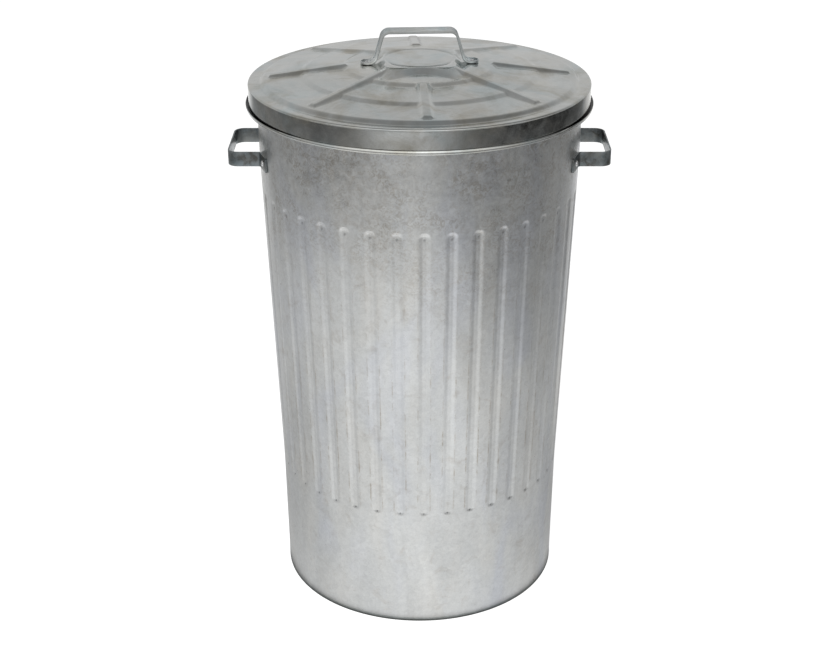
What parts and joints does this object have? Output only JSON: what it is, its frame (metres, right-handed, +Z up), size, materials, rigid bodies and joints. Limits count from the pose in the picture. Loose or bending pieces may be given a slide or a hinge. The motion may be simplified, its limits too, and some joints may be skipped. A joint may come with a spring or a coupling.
{
  "type": "dustbin",
  "caption": "Tapered round galvanised-steel dustbin with pressed flutes, a hemmed base, riveted strap side handles and a ribbed lift-off lid with a strap handle.",
  "frame": {"origin": "centre of the bin's foot, on the ground", "axes": "+Z up the bin's axis, front towards -Y, side handles towards +X and -X"},
  "size_m": [0.506, 0.4598, 0.789],
  "materials": {
    "wall_zinc": "dull galvanised zinc with soft spangle and light stains",
    "lid_zinc": "dull galvanised zinc with faint brown stains",
    "strap_zinc": "darker blue-grey galvanised zinc, stained",
    "rivet_zinc": "bright steel",
    "wire_zinc": "plain steel wire"
  },
  "bodies": {
    "root": {"body_shell": "wall_zinc", "base_pan": "wall_zinc", "rim_wire": "wire_zinc", "side_handle_right": "strap_zinc", "side_handle_left": "strap_zinc", "side_rivet_right_front": "rivet_zinc", "side_rivet_right_back": "rivet_zinc", "side_rivet_left_front": "rivet_zinc", "side_rivet_left_back": "rivet_zinc"},
    "lid": {"lid_pan": "lid_zinc", "lid_handle": "lid_zinc", "lid_rivet_left": "rivet_zinc", "lid_rivet_right": "rivet_zinc"}
  },
  "joints": [
    {"name": "lid_lift", "type": "slide", "parent": "root", "child": "lid", "axis": [0, 0, 1], "range_m": [0, 0.2]}
  ]
}
